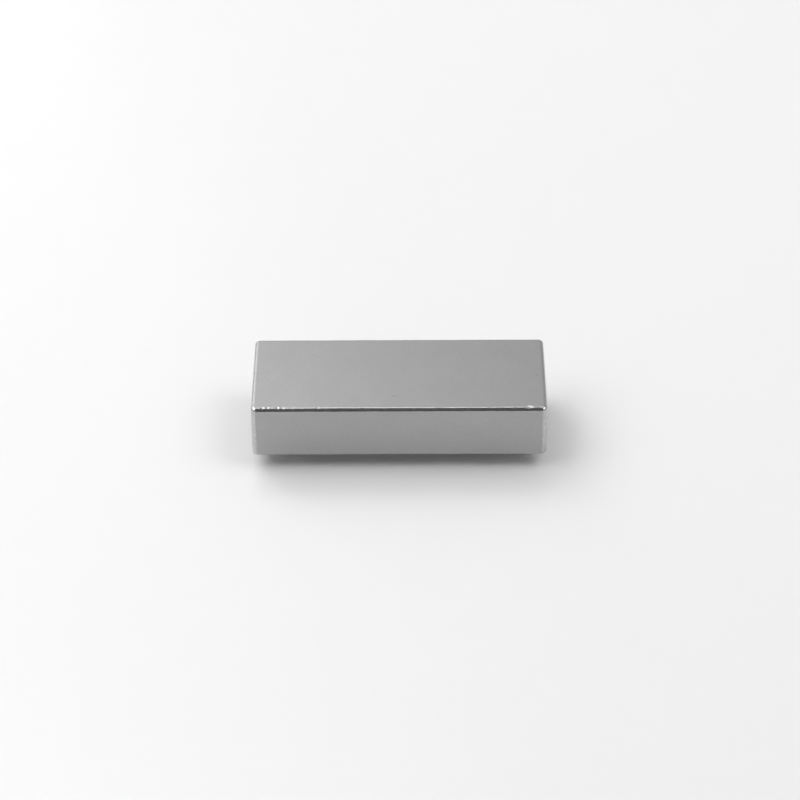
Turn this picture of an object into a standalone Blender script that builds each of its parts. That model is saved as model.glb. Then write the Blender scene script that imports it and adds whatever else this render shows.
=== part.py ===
"""A nickel-plated block magnet of sintered neodymium-iron-boron.

The powder is pressed and sintered into a block, which is ground square on all six
faces, tumbled until its corners and edges are round, plated, and then magnetised
through its thickness. It is one solid. The origin is the middle of the pole face
that it lies on, +X runs along its length and +Z points out of the other pole face.
"""

import math

import bmesh
import bpy
from mathutils import Matrix, Vector

# Size over the plating, in metres
LENGTH = 0.050
WIDTH = 0.020
THICKNESS = 0.010

# Rounding that tumbling leaves: on the four upright corners, and on the rim of each pole face
CORNER_RADIUS = 0.0009
EDGE_RADIUS = 0.0006
ROUNDING_SEGMENTS = 8
RIM_ANGLE = math.radians(60)

# Nicks knocked into the upper rim when magnets snap together. On the front rim each
# has its distance from the right end, and on the right rim its distance from the back.
# The tilt is how far over the rounded rim it sits, in degrees, from 0 at the pole face to
# 90 at the side, and the size is its length along the rim, its breadth and its depth.
FRONT_NICKS = (
    {"name": "front_nick", "inset": 0.00295, "tilt": 24, "size": (0.00080, 0.00036, 0.00007)},
    {"name": "front_corner_nick", "inset": 0.00115, "tilt": 12, "size": (0.00048, 0.00028, 0.00005)},
    {"name": "front_low_nick", "inset": 0.00580, "tilt": 66, "size": (0.00040, 0.00026, 0.00005)},
)
RIGHT_NICKS = (
    {"name": "right_nick", "inset": 0.00800, "tilt": 62, "size": (0.00046, 0.00040, 0.00008)},
)
NICK_SEGMENTS = 16

# Bright nickel plate, a little dulled by the ground surface under it
NICKEL_COLOUR = (0.58, 0.57, 0.55, 1.0)
NICKEL_ROUGHNESS = 0.35


def clear_scene():
    for obj in list(bpy.data.objects):
        bpy.data.objects.remove(obj, do_unlink=True)


def new_collection(name):
    collection = bpy.data.collections.new(name)
    bpy.context.scene.collection.children.link(collection)
    return collection


def nickel_plating():
    material = bpy.data.materials.new("nickel_plating")
    material.use_nodes = True
    shader = material.node_tree.nodes["Principled BSDF"]
    shader.inputs["Base Color"].default_value = NICKEL_COLOUR
    shader.inputs["Metallic"].default_value = 1.0
    shader.inputs["Roughness"].default_value = NICKEL_ROUGHNESS
    return material


def ground_block(name, collection):
    """The block as ground, with sharp edges, its upright ones marked for their own radius."""
    bm = bmesh.new()
    size = Matrix.Diagonal((LENGTH, WIDTH, THICKNESS, 1.0))
    place = Matrix.Translation((0.0, 0.0, THICKNESS / 2))
    bmesh.ops.create_cube(bm, size=1.0, matrix=place @ size)
    weight = bm.edges.layers.float.new("bevel_weight_edge")
    for edge in bm.edges:
        low, high = sorted(vert.co.z for vert in edge.verts)
        edge[weight] = 1.0 if high - low > THICKNESS / 2 else 0.0
    mesh = bpy.data.meshes.new(name)
    bm.to_mesh(mesh)
    bm.free()
    block = bpy.data.objects.new(name, mesh)
    collection.objects.link(block)
    return block


def tumble(block):
    """Rounds the upright corners first, and then the whole rim of both pole faces."""
    corners = block.modifiers.new("round_corners", "BEVEL")
    corners.limit_method = "WEIGHT"
    corners.width = CORNER_RADIUS
    corners.segments = ROUNDING_SEGMENTS
    rims = block.modifiers.new("round_rims", "BEVEL")
    rims.limit_method = "ANGLE"
    rims.angle_limit = RIM_ANGLE
    rims.width = EDGE_RADIUS
    rims.segments = ROUNDING_SEGMENTS


def nick_place(nick, side):
    """Where a nick lies on the upper rim, and the directions out of and along the metal there."""
    tilt = math.radians(nick["tilt"])
    if side == "front":
        outward = Vector((0.0, -math.sin(tilt), math.cos(tilt)))
        centre = Vector((LENGTH / 2 - nick["inset"], EDGE_RADIUS - WIDTH / 2, 0.0))
        along = Vector((1.0, 0.0, 0.0))
    else:
        outward = Vector((math.sin(tilt), 0.0, math.cos(tilt)))
        centre = Vector((LENGTH / 2 - EDGE_RADIUS, WIDTH / 2 - nick["inset"], 0.0))
        along = Vector((0.0, 1.0, 0.0))
    centre.z = THICKNESS - EDGE_RADIUS
    return centre + outward * EDGE_RADIUS, outward, along


def cut_nick(block, nick, side, cutters):
    """Cuts one shallow bowl, with a cutter whose middle lies on the surface of the rim."""
    place, outward, along = nick_place(nick, side)
    length, breadth, depth = nick["size"]
    across = outward.cross(along)
    turn = Matrix((along, across, outward)).transposed().to_4x4()
    size = Matrix.Diagonal((length / 2, breadth / 2, depth, 1.0))
    bm = bmesh.new()
    bmesh.ops.create_uvsphere(
        bm,
        u_segments=NICK_SEGMENTS,
        v_segments=NICK_SEGMENTS // 2,
        radius=1.0,
        matrix=Matrix.Translation(place) @ turn @ size,
    )
    bmesh.ops.recalc_face_normals(bm, faces=bm.faces)
    mesh = bpy.data.meshes.new(nick["name"])
    bm.to_mesh(mesh)
    bm.free()
    cutter = bpy.data.objects.new(nick["name"], mesh)
    cutter.hide_render = True
    cutter.display_type = "WIRE"
    cutters.objects.link(cutter)
    cut = block.modifiers.new("cut_" + nick["name"], "BOOLEAN")
    cut.operation = "DIFFERENCE"
    cut.solver = "EXACT"
    cut.object = cutter


def build_magnet():
    clear_scene()
    parts = new_collection("block_magnet")
    cutters = new_collection("nick_cutters")
    block = ground_block("block_magnet", parts)
    block.data.materials.append(nickel_plating())
    block.data.shade_smooth()
    tumble(block)
    for nick in FRONT_NICKS:
        cut_nick(block, nick, "front", cutters)
    for nick in RIGHT_NICKS:
        cut_nick(block, nick, "right", cutters)


build_magnet()
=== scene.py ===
"""A nickel-plated block magnet lying on a sheet of white acrylic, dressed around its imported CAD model."""

import math

import bpy
from mathutils import Matrix, Vector


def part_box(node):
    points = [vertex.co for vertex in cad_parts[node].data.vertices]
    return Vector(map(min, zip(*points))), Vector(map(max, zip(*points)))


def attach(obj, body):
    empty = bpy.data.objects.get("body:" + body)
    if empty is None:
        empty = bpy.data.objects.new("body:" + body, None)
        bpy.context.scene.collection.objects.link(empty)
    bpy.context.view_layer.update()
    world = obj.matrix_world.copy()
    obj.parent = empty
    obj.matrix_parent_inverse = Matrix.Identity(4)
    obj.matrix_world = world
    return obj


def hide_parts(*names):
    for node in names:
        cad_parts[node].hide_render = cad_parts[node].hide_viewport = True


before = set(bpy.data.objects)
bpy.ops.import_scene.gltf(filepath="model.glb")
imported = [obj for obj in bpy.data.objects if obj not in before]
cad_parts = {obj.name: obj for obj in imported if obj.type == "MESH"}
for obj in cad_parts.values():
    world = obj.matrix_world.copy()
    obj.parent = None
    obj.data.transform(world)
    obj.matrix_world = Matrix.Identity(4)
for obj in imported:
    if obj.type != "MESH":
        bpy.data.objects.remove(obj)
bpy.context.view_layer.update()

# The magnet: neodymium-iron-boron powder pressed and sintered into a block, ground square on
# all six faces, tumbled until its corners and rims are round, and plated with nickel. It is
# one solid, and it lies loose on a pole face.

MM = 0.001
LOW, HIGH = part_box("block_magnet")
LENGTH, WIDTH, THICKNESS = HIGH - LOW
CORNER_RADIUS = 0.9 * MM
RIM_RADIUS = 0.6 * MM

# Tumbling leaves the rims uneven: by what share their radius varies, and over what length. Noise
# stays within about a quarter of its middle value, which the stretch turns into that whole share.
RIM_WEAR = 0.05
RIM_WEAR_LENGTH = 3 * MM
NOISE_STRETCH = 4.0

# The mesh: how many cells along each side, and how many of them lie across each rounding. A bend
# sharper than the crisp angle is shaded as an edge.
CELLS = (124, 56, 34)
ROUNDED_CELLS = 8
CRISP_ANGLE = math.radians(35)

# Dents knocked into the rims where magnets snap together: the place along the rim measured from
# the middle of the block, the tilt over the rounded rim (0 at the pole face, 90 at the side), how
# far the blow leaned along the rim, and the length, breadth and depth.
FRONT_DENTS = (
    (21.88, 12, -5, (1.45, 0.80, 0.060)),
    (23.85, 13, -8, (0.50, 0.50, 0.030)),
    (19.00, 78, 0, (0.70, 0.95, 0.032)),
    (-13.65, 15, -10, (0.46, 0.66, 0.040)),
    (-18.05, 14, -10, (0.50, 0.50, 0.020)),
    (-19.60, 15, -10, (0.46, 0.66, 0.035)),
    (-20.45, 15, -10, (0.42, 0.70, 0.045)),
    (-22.12, 15, -10, (0.42, 0.76, 0.045)),
    (-23.00, 15, -10, (0.50, 0.66, 0.042)),
    (-23.80, 62, 0, (1.00, 0.60, 0.035)),
)
RIGHT_DENTS = (
    (2.00, 62, 0, (0.46, 0.40, 0.08)),
)

# What knocks a dent is a blunt cone, in shares of the dent's half length and breadth: the radius
# at the floor of the dent, and the radius as far outside the metal as the floor is deep
CONE_SIDES = 16
CONE_FLOOR = 0.6
CONE_MOUTH = 1.4

# Knocks of the same kind on all the rims but the upper front one: how many on a square millimetre,
# how far apart, the half length, half breadth and depth of the smallest and the largest, and how
# far over the rim they lie (0 at the pole face, 1 at the side), to either side of the middle
KNOCKS_PER_AREA = 0.2
KNOCK_SPACING = 1.5 * MM
SMALLEST_KNOCK = (0.10, 0.08, 0.015)
LARGEST_KNOCK = (0.30, 0.16, 0.045)
KNOCK_MIDDLE = 0.5
KNOCK_SPREAD = 0.35
KNOCK_SEED = 7


def add(tree, kind, sockets=(), **settings):
    """Adds a node, with a value or a link for each socket, listed in order or by name.

    It gives back the node's output, or the whole node where it has more than one."""
    node = tree.nodes.new(kind)
    for setting, value in settings.items():
        setattr(node, setting, value)
    shown = [socket for socket in node.inputs if socket.enabled]
    for key, value in sockets.items() if isinstance(sockets, dict) else enumerate(sockets):
        socket = shown[key] if isinstance(key, int) else next(s for s in shown if s.name == key)
        if isinstance(value, bpy.types.NodeSocket):
            tree.links.new(value, socket)
        else:
            socket.default_value = value
    results = [socket for socket in node.outputs if socket.enabled]
    return results[0] if len(results) == 1 else node


def new_tree(name, inputs):
    """A Geometry Nodes tree with named inputs, and the sockets at its start and end."""
    tree = bpy.data.node_groups.new(name, "GeometryNodeTree")
    for title, kind in inputs:
        tree.interface.new_socket(title, in_out="INPUT", socket_type=kind)
    tree.interface.new_socket("Geometry", in_out="OUTPUT", socket_type="NodeSocketGeometry")
    return tree, tree.nodes.new("NodeGroupInput").outputs, tree.nodes.new("NodeGroupOutput").inputs


def rounded_block(tree, given):
    """Nodes for a gridded box whose upright corners and then both rims are pushed round.

    They keep each point's tilt in the mesh: how far over its rim the metal faces there,
    0 on a pole face and 1 on a side."""
    cells = add(tree, "ShaderNodeSeparateXYZ", [given["Cells"]]).outputs
    counts = [add(tree, "ShaderNodeMath", [cells[axis], 1.0], operation="ADD") for axis in "XYZ"]
    box = add(tree, "GeometryNodeMeshCube", [(2.0, 2.0, 2.0), *counts]).outputs["Mesh"]
    place = add(tree, "GeometryNodeInputPosition")
    side = add(tree, "ShaderNodeVectorMath", [place], operation="SIGN")
    share = add(tree, "ShaderNodeVectorMath", [place], operation="ABSOLUTE")

    # Grade the grid, so that the rounded zones have their own narrow cells
    half = add(tree, "ShaderNodeVectorMath", [given["Size"], (0.5, 0.5, 0.5)], operation="MULTIPLY")
    half_cells = add(tree, "ShaderNodeVectorMath", [given["Cells"], (0.5, 0.5, 0.5)], operation="MULTIPLY")
    rounded_cells = add(tree, "ShaderNodeCombineXYZ", [given["Rounded Cells"]] * 3)
    narrow = add(tree, "ShaderNodeVectorMath", [rounded_cells, half_cells], operation="DIVIDE")
    start = add(tree, "ShaderNodeVectorMath", [(1.0, 1.0, 1.0), narrow], operation="SUBTRACT")
    radius = add(tree, "ShaderNodeCombineXYZ", [given["Corner Radius"]] * 3)
    core = add(tree, "ShaderNodeVectorMath", [half, radius], operation="SUBTRACT")
    flat = add(tree, "ShaderNodeMapRange", [share, (0, 0, 0), start, (0, 0, 0), core],
               data_type="FLOAT_VECTOR")
    zone = add(tree, "ShaderNodeMapRange", [share, start, (1, 1, 1), (0, 0, 0), radius],
               data_type="FLOAT_VECTOR")
    graded = add(tree, "ShaderNodeVectorMath", [flat, zone], operation="ADD")

    # Round the upright corners in plan: square rings about the core become circles
    over = add(tree, "ShaderNodeVectorMath", [graded, core], operation="SUBTRACT")
    over = add(tree, "ShaderNodeVectorMath", [over, (0, 0, 0)], operation="MAXIMUM")
    over = add(tree, "ShaderNodeVectorMath", [over, (1, 1, 0)], operation="MULTIPLY")
    over_by = add(tree, "ShaderNodeSeparateXYZ", [over]).outputs
    reach = add(tree, "ShaderNodeMath", [over_by["X"], over_by["Y"]], operation="MAXIMUM")
    outward = add(tree, "ShaderNodeVectorMath", [over], operation="NORMALIZE")
    ring = add(tree, "ShaderNodeVectorMath", {"Vector": outward, "Scale": reach}, operation="SCALE")
    inside = add(tree, "ShaderNodeVectorMath", [graded, over], operation="SUBTRACT")
    plan = add(tree, "ShaderNodeVectorMath", [inside, ring], operation="ADD")

    # Wear the rims: their radius varies a little from place to place
    where = add(tree, "ShaderNodeVectorMath", [plan, side], operation="MULTIPLY")
    scale = add(tree, "ShaderNodeMath", [1.0, given["Rim Wear Length"]], operation="DIVIDE")
    noise = add(tree, "ShaderNodeTexNoise", {"Vector": where, "Scale": scale, "Detail": 2.0}).outputs["Fac"]
    uneven = add(tree, "ShaderNodeMath", [noise, 0.5], operation="SUBTRACT")
    uneven = add(tree, "ShaderNodeMath", [uneven, NOISE_STRETCH], operation="MULTIPLY")
    uneven = add(tree, "ShaderNodeMath", [uneven, given["Rim Wear"]], operation="MULTIPLY")
    uneven = add(tree, "ShaderNodeMath", [uneven, 1.0], operation="ADD")
    rim = add(tree, "ShaderNodeMath", [uneven, given["Rim Radius"]], operation="MULTIPLY")

    # Round the rims: how far out and up a point lies past the middle of its rim's arc
    straight = add(tree, "ShaderNodeMath", [given["Corner Radius"], rim], operation="SUBTRACT")
    out = add(tree, "ShaderNodeMath", [reach, straight], operation="SUBTRACT")
    out = add(tree, "ShaderNodeMath", [out, 0.0], operation="MAXIMUM")
    height = add(tree, "ShaderNodeSeparateXYZ", [plan]).outputs["Z"]
    half_height = add(tree, "ShaderNodeSeparateXYZ", [half]).outputs["Z"]
    upright = add(tree, "ShaderNodeMath", [half_height, rim], operation="SUBTRACT")
    up = add(tree, "ShaderNodeMath", [height, upright], operation="SUBTRACT")
    up = add(tree, "ShaderNodeMath", [up, 0.0], operation="MAXIMUM")
    square = add(tree, "ShaderNodeVectorMath", {"Vector": outward, "Scale": out}, operation="SCALE")
    square = add(tree, "ShaderNodeVectorMath", [
        square, add(tree, "ShaderNodeCombineXYZ", [0.0, 0.0, up])], operation="ADD")
    arc = add(tree, "ShaderNodeVectorMath", {
        "Vector": add(tree, "ShaderNodeVectorMath", [square], operation="NORMALIZE"),
        "Scale": add(tree, "ShaderNodeMath", [out, up], operation="MAXIMUM")}, operation="SCALE")
    rounded = add(tree, "ShaderNodeVectorMath", [plan, square], operation="SUBTRACT")
    rounded = add(tree, "ShaderNodeVectorMath", [rounded, arc], operation="ADD")

    # Back to its own side of the block, and up to stand on the table
    rounded = add(tree, "ShaderNodeVectorMath", [rounded, side], operation="MULTIPLY")
    lift = add(tree, "ShaderNodeCombineXYZ", [0.0, 0.0, half_height])
    rounded = add(tree, "ShaderNodeVectorMath", [rounded, lift], operation="ADD")
    angle = add(tree, "ShaderNodeMath", [out, up], operation="ARCTAN2")
    tilt = add(tree, "ShaderNodeMath", [angle, math.pi / 2], operation="DIVIDE")
    block = add(tree, "GeometryNodeStoreNamedAttribute", {
        "Geometry": box, "Name": "tilt", "Value": tilt}, data_type="FLOAT", domain="POINT")
    return add(tree, "GeometryNodeSetPosition", {"Geometry": block, "Position": rounded})


def dent_cutters(tree, given, cone):
    """Nodes for a cone on each dent point, turned and sized as the point says."""
    points = add(tree, "GeometryNodeObjectInfo", {"Object": given["Dents"]}).outputs["Geometry"]
    turn = add(tree, "GeometryNodeInputNamedAttribute", {"Name": "turn"}, data_type="QUATERNION")
    size = add(tree, "GeometryNodeInputNamedAttribute", {"Name": "size"}, data_type="FLOAT_VECTOR")
    return add(tree, "GeometryNodeInstanceOnPoints", {
        "Points": points, "Instance": cone,
        "Rotation": turn.outputs["Attribute"], "Scale": size.outputs["Attribute"]})


def knock_cutters(tree, given, cone, block):
    """Nodes for small cones strewn over all the rims but the upper front one, which has dents."""
    tilt = add(tree, "GeometryNodeInputNamedAttribute", {"Name": "tilt"}, data_type="FLOAT")
    over_rim = add(tree, "ShaderNodeMath", [
        tilt.outputs["Attribute"], KNOCK_MIDDLE, KNOCK_SPREAD], operation="COMPARE")
    middle = add(tree, "ShaderNodeVectorMath", [given["Size"], (0.5, 0.5, 0.5)], operation="MULTIPLY")
    middle = add(tree, "ShaderNodeSeparateXYZ", [middle]).outputs
    spot = add(tree, "ShaderNodeSeparateXYZ", [add(tree, "GeometryNodeInputPosition")]).outputs
    upper = add(tree, "ShaderNodeMath", [spot["Z"], middle["Z"]], operation="GREATER_THAN")
    flat_from = add(tree, "ShaderNodeMath", [given["Corner Radius"], middle["Y"]], operation="SUBTRACT")
    front = add(tree, "ShaderNodeMath", [spot["Y"], flat_from], operation="LESS_THAN")
    upper_front = add(tree, "ShaderNodeMath", [upper, front], operation="MULTIPLY")
    elsewhere = add(tree, "ShaderNodeMath", [upper_front, 0.5], operation="LESS_THAN")
    strewn = add(tree, "GeometryNodeDistributePointsOnFaces", {
        "Mesh": block,
        "Selection": add(tree, "ShaderNodeMath", [over_rim, elsewhere], operation="MULTIPLY"),
        "Distance Min": given["Knock Spacing"], "Density Max": given["Knock Density"],
        "Seed": given["Seed"]}, distribute_method="POISSON")
    size = add(tree, "FunctionNodeRandomValue", {
        "Min": given["Smallest Knock"], "Max": given["Largest Knock"], "Seed": given["Seed"]},
        data_type="FLOAT_VECTOR")
    return add(tree, "GeometryNodeInstanceOnPoints", {
        "Points": strewn.outputs["Points"], "Instance": cone,
        "Rotation": strewn.outputs["Rotation"], "Scale": size})


def tumbled_block():
    """Tree for the whole block: ground, tumbled, and dented where others have knocked it."""
    tree, given, result = new_tree("tumbled_block", (
        ("Size", "NodeSocketVector"),
        ("Corner Radius", "NodeSocketFloat"),
        ("Rim Radius", "NodeSocketFloat"),
        ("Rim Wear", "NodeSocketFloat"),
        ("Rim Wear Length", "NodeSocketFloat"),
        ("Cells", "NodeSocketVector"),
        ("Rounded Cells", "NodeSocketFloat"),
        ("Dents", "NodeSocketObject"),
        ("Knock Density", "NodeSocketFloat"),
        ("Knock Spacing", "NodeSocketFloat"),
        ("Smallest Knock", "NodeSocketVector"),
        ("Largest Knock", "NodeSocketVector"),
        ("Seed", "NodeSocketInt"),
        ("Material", "NodeSocketMaterial"),
    ))
    block = rounded_block(tree, given)
    cone = add(tree, "GeometryNodeMeshCone", {
        "Vertices": CONE_SIDES, "Radius Top": CONE_MOUTH, "Radius Bottom": CONE_FLOOR, "Depth": 2.0})
    cone = add(tree, "GeometryNodeTransform", {"Geometry": cone.outputs["Mesh"], "Translation": (0, 0, -1)})
    cutters = add(tree, "GeometryNodeJoinGeometry", [dent_cutters(tree, given, cone)])
    tree.links.new(knock_cutters(tree, given, cone, block), cutters.node.inputs["Geometry"])
    cutters = add(tree, "GeometryNodeRealizeInstances", {"Geometry": cutters})
    cut = add(tree, "GeometryNodeMeshBoolean", {"Mesh 1": block, "Mesh 2": cutters},
              operation="DIFFERENCE", solver="EXACT")
    smooth = add(tree, "GeometryNodeSetShadeSmooth", {"Geometry": cut.outputs["Mesh"]})
    bend = add(tree, "GeometryNodeInputMeshEdgeAngle").outputs["Unsigned Angle"]
    crisp = add(tree, "ShaderNodeMath", [bend, CRISP_ANGLE], operation="GREATER_THAN")
    smooth = add(tree, "GeometryNodeSetShadeSmooth", {
        "Geometry": smooth, "Selection": crisp, "Shade Smooth": False}, domain="EDGE")
    solid = add(tree, "GeometryNodeRealizeInstances", {"Geometry": smooth})
    solid = add(tree, "GeometryNodeSetMaterial", {"Geometry": solid, "Material": given["Material"]})
    tree.links.new(solid, result["Geometry"])
    return tree


def dent_points():
    """A mesh of one point for each dent, with the turn and size of what knocked it."""
    places = []
    up = Vector((0, 0, 1))
    for side, dents in ((Vector((0, -1, 0)), FRONT_DENTS), (Vector((1, 0, 0)), RIGHT_DENTS)):
        along = up.cross(side)
        for distance, tilt, lean, size in dents:
            outward = side * math.sin(math.radians(tilt)) + up * math.cos(math.radians(tilt))
            rim = side * (LENGTH / 2 if side.x else WIDTH / 2) + along * distance * MM + up * THICKNESS
            place = rim - (side + up - outward) * RIM_RADIUS
            blow = outward * math.cos(math.radians(lean)) + along * math.sin(math.radians(lean))
            places.append((place, blow, outward.cross(along).cross(blow), size))
    mesh = bpy.data.meshes.new("dent_points")
    mesh.from_pydata([place for place, *rest in places], [], [])
    turns = mesh.attributes.new("turn", "QUATERNION", "POINT")
    sizes = mesh.attributes.new("size", "FLOAT_VECTOR", "POINT")
    for i, (place, outward, along, (length, breadth, depth)) in enumerate(places):
        turn = Matrix((along, outward.cross(along), outward)).transposed()
        turns.data[i].value = turn.to_quaternion()
        sizes.data[i].vector = Vector((length / 2, breadth / 2, depth)) * MM
    return bpy.data.objects.new("dent_points", mesh)


def linear(code):
    """The linear colour of an sRGB hex value."""
    shares = [int(code[i:i + 2], 16) / 255 for i in (1, 3, 5)]
    return [s / 12.92 if s <= 0.04045 else ((s + 0.055) / 1.055) ** 2.4 for s in shares] + [1.0]


def new_material(name):
    material = bpy.data.materials.new(name)
    material.use_nodes = True
    material.node_tree.nodes.clear()
    return material, material.node_tree


# Bright nickel plate. On the ground faces it follows the grinding marks and the grain under it,
# which gives the eye a soft satin grey with a fine mottle, and on the tumbled rims and corners
# it is burnished, so they mirror their surroundings more sharply and a little more brightly.
FACE_NICKEL = "#ababab"
RIM_NICKEL = "#bcbcbc"
FACE_ROUGHNESS = 0.36
RIM_ROUGHNESS = 0.20

# A face is square to one axis, and a rim or corner is turned away from all three. The metal counts
# as burnished up to the first share of its normal along the nearest axis, and as ground from the
# second.
BURNISHED, GROUND = 0.97, 0.998

# Sizes in millimetres of the sintered grain, the clouds in the plating, the grinding marks and the
# flecks rubbed into the rims. The real grain is some 0.01 mm and the real marks are some 0.02 mm
# apart, too fine to show, so both are drawn as coarse as they need to be.
GRAIN = 0.45
CLOUD = 4.0
GRIND_PITCH = 0.25
GRIND_LENGTH = 12.0
FLECK = 0.7

# How much each of them adds to the darkest tone of the plating, and what the grain adds to its
# roughness. The heights in millimetres are of the grain, which has its share of grinding marks, and
# of the flecks.
DARKEST_TONE = 0.855
GRAIN_TONE = 0.20
CLOUD_TONE = 0.09
FLECK_TONE = 0.45
GRAIN_ROUGHNESS = 0.06
GRAIN_HEIGHT = 0.02
GRAIN_STRENGTH = 0.05
GRIND_SHARE = 0.4
FLECK_HEIGHT = 0.02

# Painted shade of shallow pits in the upper pole face, where a grain fell out before plating: the
# pits are not cut, and each is drawn only as a darker spot in the colour. Place, length and breadth.
# The tone is that of their middle, the depth is how thick they are, and the fade is from what share
# of their half size to what share they run out.
PIT_SHADES = (
    ((-0.82, -6.29), (1.30, 0.65)),
    ((-10.21, -7.89), (0.70, 0.55)),
    ((23.45, -0.57), (0.35, 0.80)),
)
PIT_SHADE_TONE = 0.87
PIT_SHADE_DEPTH = 0.4
PIT_SHADE_FADE = (0.3, 1.2)


def nickel_plating():
    material, tree = new_material("nickel_plating")
    own = add(tree, "ShaderNodeTexCoord").outputs
    place = add(tree, "ShaderNodeMapping", {"Vector": own["Object"], "Scale": (1 / MM, 1 / MM, 1 / MM)})
    grain = add(tree, "ShaderNodeTexNoise", {
        "Vector": place, "Scale": 1 / GRAIN, "Detail": 3.0, "Roughness": 0.6}).outputs["Fac"]
    cloud = add(tree, "ShaderNodeTexNoise", {
        "Vector": place, "Scale": 1 / CLOUD, "Detail": 2.0}).outputs["Fac"]
    drawn = add(tree, "ShaderNodeMapping", {
        "Vector": place, "Scale": (1 / GRIND_LENGTH, 1 / GRIND_PITCH, 1 / GRIND_PITCH)})
    lines = add(tree, "ShaderNodeTexNoise", {"Vector": drawn, "Scale": 1.0, "Detail": 2.0}).outputs["Fac"]
    flecks = add(tree, "ShaderNodeTexNoise", {
        "Vector": place, "Scale": 1 / FLECK, "Detail": 2.0}).outputs["Fac"]

    # Tell the ground faces, 1, from the burnished rims and corners, 0
    turned = add(tree, "ShaderNodeVectorMath", [own["Normal"]], operation="ABSOLUTE")
    turned = add(tree, "ShaderNodeSeparateXYZ", [turned]).outputs
    square = add(tree, "ShaderNodeMath", [turned["X"], turned["Y"]], operation="MAXIMUM")
    square = add(tree, "ShaderNodeMath", [square, turned["Z"]], operation="MAXIMUM")
    face = add(tree, "ShaderNodeMapRange", {"Value": square, "From Min": BURNISHED, "From Max": GROUND})

    # Flecks show on the rims alone
    rim = add(tree, "ShaderNodeMath", [1.0, face], operation="SUBTRACT")
    rub = add(tree, "ShaderNodeMath", [flecks, 0.5], operation="SUBTRACT")
    rub = add(tree, "ShaderNodeMath", [rim, rub], operation="MULTIPLY")

    tone = add(tree, "ShaderNodeMath", [grain, GRAIN_TONE, DARKEST_TONE], operation="MULTIPLY_ADD")
    tone = add(tree, "ShaderNodeMath", [cloud, CLOUD_TONE, tone], operation="MULTIPLY_ADD")
    tone = add(tree, "ShaderNodeMath", [rub, FLECK_TONE, tone], operation="MULTIPLY_ADD")
    # Painted shade of the pits: the colour darkens towards the middle of each listed spot
    for (x, y), (length, breadth) in PIT_SHADES:
        away = add(tree, "ShaderNodeVectorMath", [place, (x, y, THICKNESS / MM)], operation="SUBTRACT")
        away = add(tree, "ShaderNodeVectorMath", [
            away, (length / 2, breadth / 2, PIT_SHADE_DEPTH / 2)], operation="DIVIDE")
        pit_shade = add(tree, "ShaderNodeMapRange", {
            "Value": add(tree, "ShaderNodeVectorMath", [away], operation="LENGTH"),
            "From Min": PIT_SHADE_FADE[0], "From Max": PIT_SHADE_FADE[1], "To Min": PIT_SHADE_TONE, "To Max": 1.0})
        tone = add(tree, "ShaderNodeMath", [tone, pit_shade], operation="MULTIPLY")
    colour = add(tree, "ShaderNodeMix", {
        "Factor": face, "A": linear(RIM_NICKEL), "B": linear(FACE_NICKEL)}, data_type="RGBA")
    colour = add(tree, "ShaderNodeVectorMath", {"Vector": colour, "Scale": tone}, operation="SCALE")

    rough = add(tree, "ShaderNodeMix", {"Factor": face, "A": RIM_ROUGHNESS, "B": FACE_ROUGHNESS})
    rough = add(tree, "ShaderNodeMath", [rough, GRAIN_ROUGHNESS / 2], operation="SUBTRACT")
    rough = add(tree, "ShaderNodeMath", [grain, GRAIN_ROUGHNESS, rough], operation="MULTIPLY_ADD")
    height = add(tree, "ShaderNodeMath", [lines, GRIND_SHARE, grain], operation="MULTIPLY_ADD")
    bump = add(tree, "ShaderNodeBump", {
        "Strength": GRAIN_STRENGTH, "Distance": GRAIN_HEIGHT * MM, "Height": height})
    bump = add(tree, "ShaderNodeBump", {
        "Strength": 1.0, "Distance": FLECK_HEIGHT * MM, "Height": rub, "Normal": bump})
    shader = add(tree, "ShaderNodeBsdfPrincipled", {
        "Base Color": colour, "Metallic": 1.0, "Roughness": rough, "Normal": bump})
    add(tree, "ShaderNodeOutputMaterial", {"Surface": shader})
    return material


def set_inputs(modifier, values):
    """Sets a modifier's inputs, which go by their sockets' identifiers."""
    sockets = {s.name: s.identifier for s in modifier.node_group.interface.items_tree if s.in_out == "INPUT"}
    for name, value in values.items():
        modifier[sockets[name]] = value


def plain_mesh(seed, name):
    """The evaluated result of an object's modifiers, as a new object of its own."""
    seen = seed.evaluated_get(bpy.context.evaluated_depsgraph_get())
    mesh = bpy.data.meshes.new_from_object(seen)
    mesh.name = name
    # The cut leaves an empty slot before the one that all the faces use
    finish = mesh.materials[-1]
    mesh.materials.clear()
    mesh.materials.append(finish)
    piece = bpy.data.objects.new(name, mesh)
    bpy.context.scene.collection.objects.link(piece)
    return piece


def make_magnet():
    dents = dent_points()
    seed = bpy.data.objects.new("magnet_seed", bpy.data.meshes.new("magnet_seed"))
    bpy.context.scene.collection.objects.link(seed)
    modifier = seed.modifiers.new("tumbled_block", "NODES")
    modifier.node_group = tumbled_block()
    set_inputs(modifier, {
        "Size": (LENGTH, WIDTH, THICKNESS),
        "Corner Radius": CORNER_RADIUS,
        "Rim Radius": RIM_RADIUS,
        "Rim Wear": RIM_WEAR,
        "Rim Wear Length": RIM_WEAR_LENGTH,
        "Cells": [float(count) for count in CELLS],
        "Rounded Cells": float(ROUNDED_CELLS),
        "Dents": dents,
        "Knock Density": KNOCKS_PER_AREA / MM ** 2,
        "Knock Spacing": KNOCK_SPACING,
        "Smallest Knock": [size * MM for size in SMALLEST_KNOCK],
        "Largest Knock": [size * MM for size in LARGEST_KNOCK],
        "Seed": KNOCK_SEED,
        "Material": nickel_plating(),
    })
    magnet = plain_mesh(seed, "magnet")
    bpy.data.objects.remove(seed)
    bpy.data.objects.remove(dents)
    return magnet


magnet = make_magnet()
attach(magnet, "root")
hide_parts("block_magnet")

# The table: a sheet of white acrylic, cast with a satin face. Light goes a little way into it
# before it scatters, so it has a clear skin, with a soft gloss, over a white body.

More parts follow.
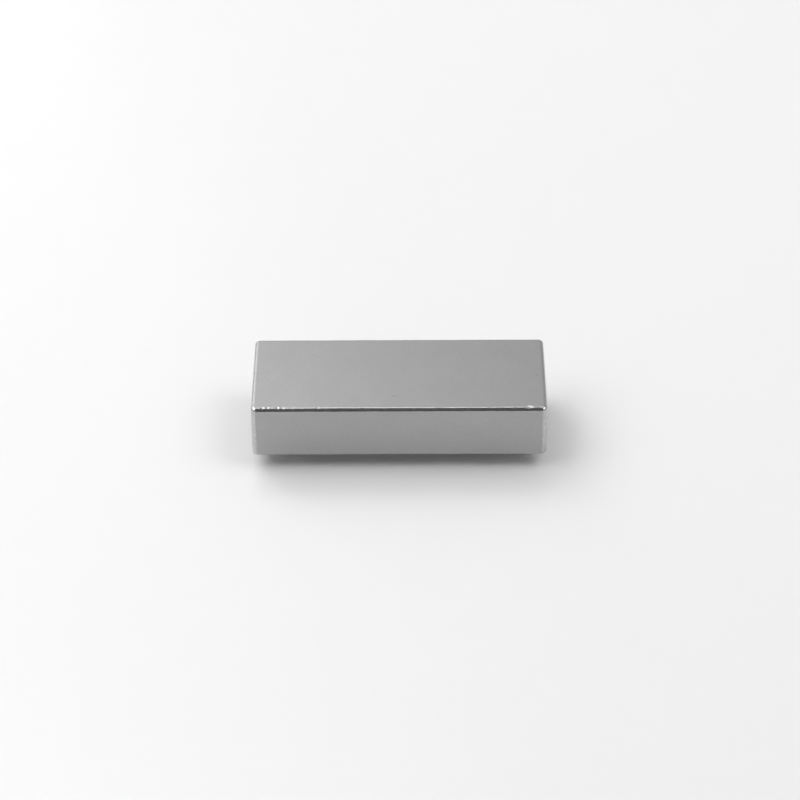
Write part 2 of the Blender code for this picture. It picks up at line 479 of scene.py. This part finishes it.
SHEET_SIDE = 4.0
SKIN_GAP = 0.02 * MM
SKIN_DEPTH = 2.6 * MM
SKIN_IOR = 1.49
SKIN_ROUGHNESS = 0.22
SHEET_WHITE = "#e6e6e6"


def level_sheet(name, height, material):
    mesh = bpy.data.meshes.new(name)
    half = SHEET_SIDE / 2
    corners = [(-half, -half, height), (half, -half, height), (half, half, height), (-half, half, height)]
    mesh.from_pydata(corners, [], [(0, 1, 2, 3)])
    mesh.materials.append(material)
    sheet = bpy.data.objects.new(name, mesh)
    bpy.context.scene.collection.objects.link(sheet)


# The satin face of cast acrylic, which gives a faint and blurred mirror of what stands on it
def acrylic_skin():
    material, tree = new_material("acrylic_skin")
    clear = add(tree, "ShaderNodeBsdfTransparent", {"Color": (1.0, 1.0, 1.0, 1.0)})
    gloss = add(tree, "ShaderNodeBsdfGlossy", {"Color": (1.0, 1.0, 1.0, 1.0), "Roughness": SKIN_ROUGHNESS})
    # Light passes the skin both ways without bending, so its underside counts as a front too
    behind = add(tree, "ShaderNodeNewGeometry").outputs["Backfacing"]
    index = add(tree, "ShaderNodeMix", {"Factor": behind, "A": SKIN_IOR, "B": 1 / SKIN_IOR})
    share = add(tree, "ShaderNodeFresnel", {"IOR": index})
    shader = add(tree, "ShaderNodeMixShader", [share, clear, gloss])
    add(tree, "ShaderNodeOutputMaterial", {"Surface": shader})
    return material


# Acrylic with white pigment all through, which gives an even matt white and soft shadows
def acrylic_body():
    material, tree = new_material("acrylic_body")
    shader = add(tree, "ShaderNodeBsdfDiffuse", {"Color": linear(SHEET_WHITE)})
    add(tree, "ShaderNodeOutputMaterial", {"Surface": shader})
    return material


level_sheet("acrylic_skin", -SKIN_GAP, acrylic_skin())
level_sheet("acrylic_body", -SKIN_DEPTH, acrylic_body())

# The light: a grey studio with three softboxes that face the magnet, and a long flag of grey
# cloth that leans from the floor in front over the magnet. The front rim mirrors the flag as its
# dark line, and the edge of the key box as the bright line above it.

STUDIO = "#bfbfbf"

# Each softbox has its degrees round from the front to the right and up from the floor, its size in
# metres and how white it looks. All are the same distance away, and a white of 1 needs so many
# watts for each square metre.
REACH = 1.3
WATTS_PER_AREA = 4
KEY = {"round": 254, "up": 62, "width": 1.82, "height": 1.25, "white": 1.80}
REAR = {"round": 210, "up": 41, "width": 0.91, "height": 1.56, "white": 0.55}
FILL = {"round": 80, "up": 59, "width": 0.75, "height": 0.83, "white": 2.22}

# The flag's two ends, each by its distance from the magnet and its degrees up from the floor in front
FLAG_ENDS = ((1.25, 0), (1.15, 114))
FLAG_WIDTH = 0.44
FLAG_GREY = "#6c6c6c"


def aim(place, target):
    """The matrix of something at a place, with its -Z towards a target."""
    place, target = Vector(place), Vector(target)
    turn = (target - place).to_track_quat("-Z", "Y").to_matrix().to_4x4()
    return Matrix.Translation(place) @ turn


def softbox(name, box):
    lamp = bpy.data.lights.new(name, "AREA")
    lamp.shape = "RECTANGLE"
    lamp.size = box["width"]
    lamp.size_y = box["height"]
    lamp.energy = box["white"] * WATTS_PER_AREA * lamp.size * lamp.size_y
    turn, up = math.radians(box["round"]), math.radians(box["up"])
    place = Vector((math.sin(turn) * math.cos(up), -math.cos(turn) * math.cos(up), math.sin(up))) * REACH
    light = bpy.data.objects.new(name, lamp)
    light.visible_camera = False
    bpy.context.scene.collection.objects.link(light)
    light.matrix_world = aim(place, (0.0, 0.0, 0.0))


def studio():
    world = bpy.data.worlds.new("studio")
    world.use_nodes = True
    world.node_tree.nodes["Background"].inputs["Color"].default_value = linear(STUDIO)
    bpy.context.scene.world = world


# Matt woven cloth, which the metal mirrors as one even dark grey
def grey_cloth():
    material, tree = new_material("grey_cloth")
    shader = add(tree, "ShaderNodeBsdfDiffuse", {"Color": linear(FLAG_GREY)})
    add(tree, "ShaderNodeOutputMaterial", {"Surface": shader})
    return material


def grey_flag():
    half = FLAG_WIDTH / 2
    corners = []
    for reach, up in FLAG_ENDS:
        y, z = -reach * math.cos(math.radians(up)), reach * math.sin(math.radians(up))
        corners += [(-half, y, z), (half, y, z)]
    mesh = bpy.data.meshes.new("grey_flag")
    mesh.from_pydata(corners, [], [(0, 1, 3, 2)])
    mesh.materials.append(grey_cloth())
    flag = bpy.data.objects.new("grey_flag", mesh)
    flag.visible_camera = False
    bpy.context.scene.collection.objects.link(flag)


studio()
softbox("key", KEY)
softbox("rear", REAR)
softbox("fill", FILL)
grey_flag()

# The camera: a long lens on a stand some half a metre off, raised 37.7 degrees and square to the
# magnet's long side but for a slight swing and roll, with the magnet just off its middle.

LENS = 124.0
RISE = math.radians(37.70)
SWING = math.radians(0.32)
ROLL = math.radians(-0.42)
DISTANCE = 473.9 * MM
ASIDE = 0.12 * MM
DOWN = 0.57 * MM


def camera():
    back = Vector((math.sin(SWING) * math.cos(RISE), -math.cos(SWING) * math.cos(RISE), math.sin(RISE)))
    right = Vector((math.cos(SWING), math.sin(SWING), 0.0))
    up = back.cross(right)
    right, up = (right * math.cos(ROLL) + up * math.sin(ROLL), up * math.cos(ROLL) - right * math.sin(ROLL))
    place = Vector((0.0, 0.0, THICKNESS / 2)) + back * DISTANCE + right * ASIDE - up * DOWN
    lens = bpy.data.cameras.new("camera")
    lens.lens = LENS
    lens.clip_start = 0.01
    eye = bpy.data.objects.new("camera", lens)
    bpy.context.scene.collection.objects.link(eye)
    eye.matrix_world = Matrix.Translation(place) @ Matrix((right, up, back)).transposed().to_4x4()
    bpy.context.scene.camera = eye


camera()
bpy.context.scene.view_settings.view_transform = "Standard"
